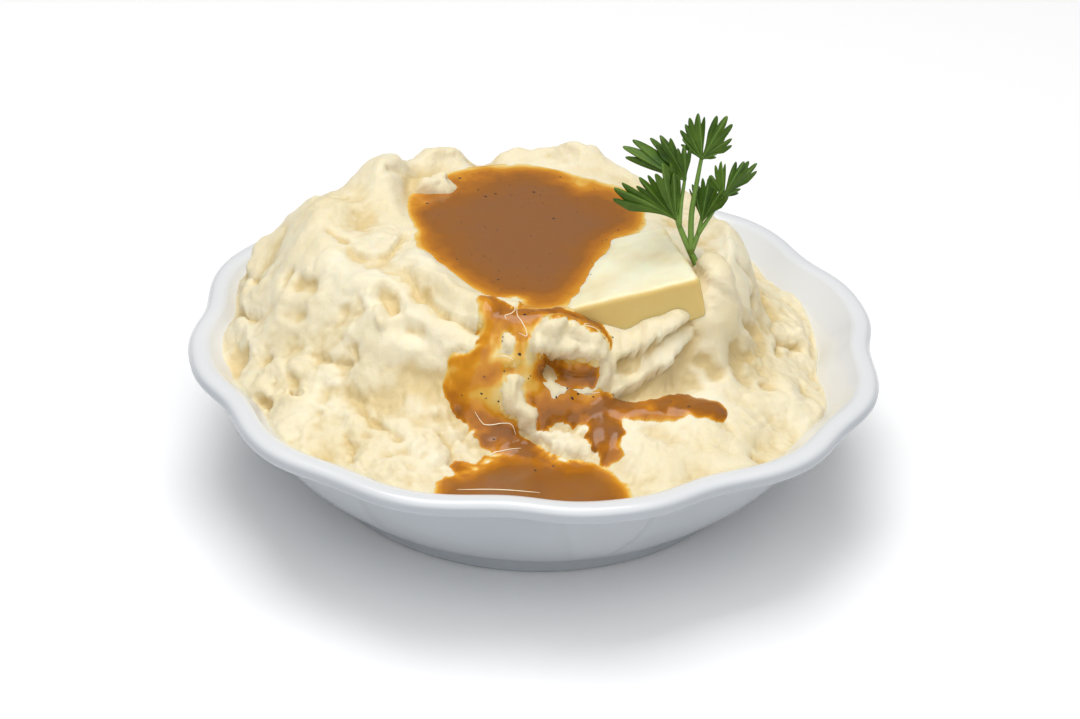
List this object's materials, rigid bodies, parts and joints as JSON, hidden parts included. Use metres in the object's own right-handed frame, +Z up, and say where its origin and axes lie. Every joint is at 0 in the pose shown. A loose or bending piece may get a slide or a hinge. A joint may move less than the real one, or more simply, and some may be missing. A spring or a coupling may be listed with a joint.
{
  "type": "mashed potato side",
  "caption": "Mashed potato heaped in a scalloped white bowl, with a well of brown gravy, a pat of butter and a sprig of parsley.",
  "frame": {"origin": "centre of the bowl's foot, on the table", "axes": "+Z up; -Y towards the side where the gravy has run down; +X towards the butter and the parsley"},
  "size_m": [0.1666, 0.1666, 0.0966],
  "materials": {
    "white_glaze": "smooth glossy white glaze",
    "mash": "soft moist cream-coloured mash",
    "gravy": "glossy brown gravy, amber where thin",
    "butter": "smooth pale yellow, slightly waxy",
    "parsley": "dark green leaf with paler veins"
  },
  "bodies": {
    "root": {"bowl": "white_glaze", "mash": "mash", "gravy_well": "gravy", "gravy_front": "gravy", "gravy_tongue": "gravy", "butter": "butter", "parsley": "parsley"}
  },
  "joints": []
}
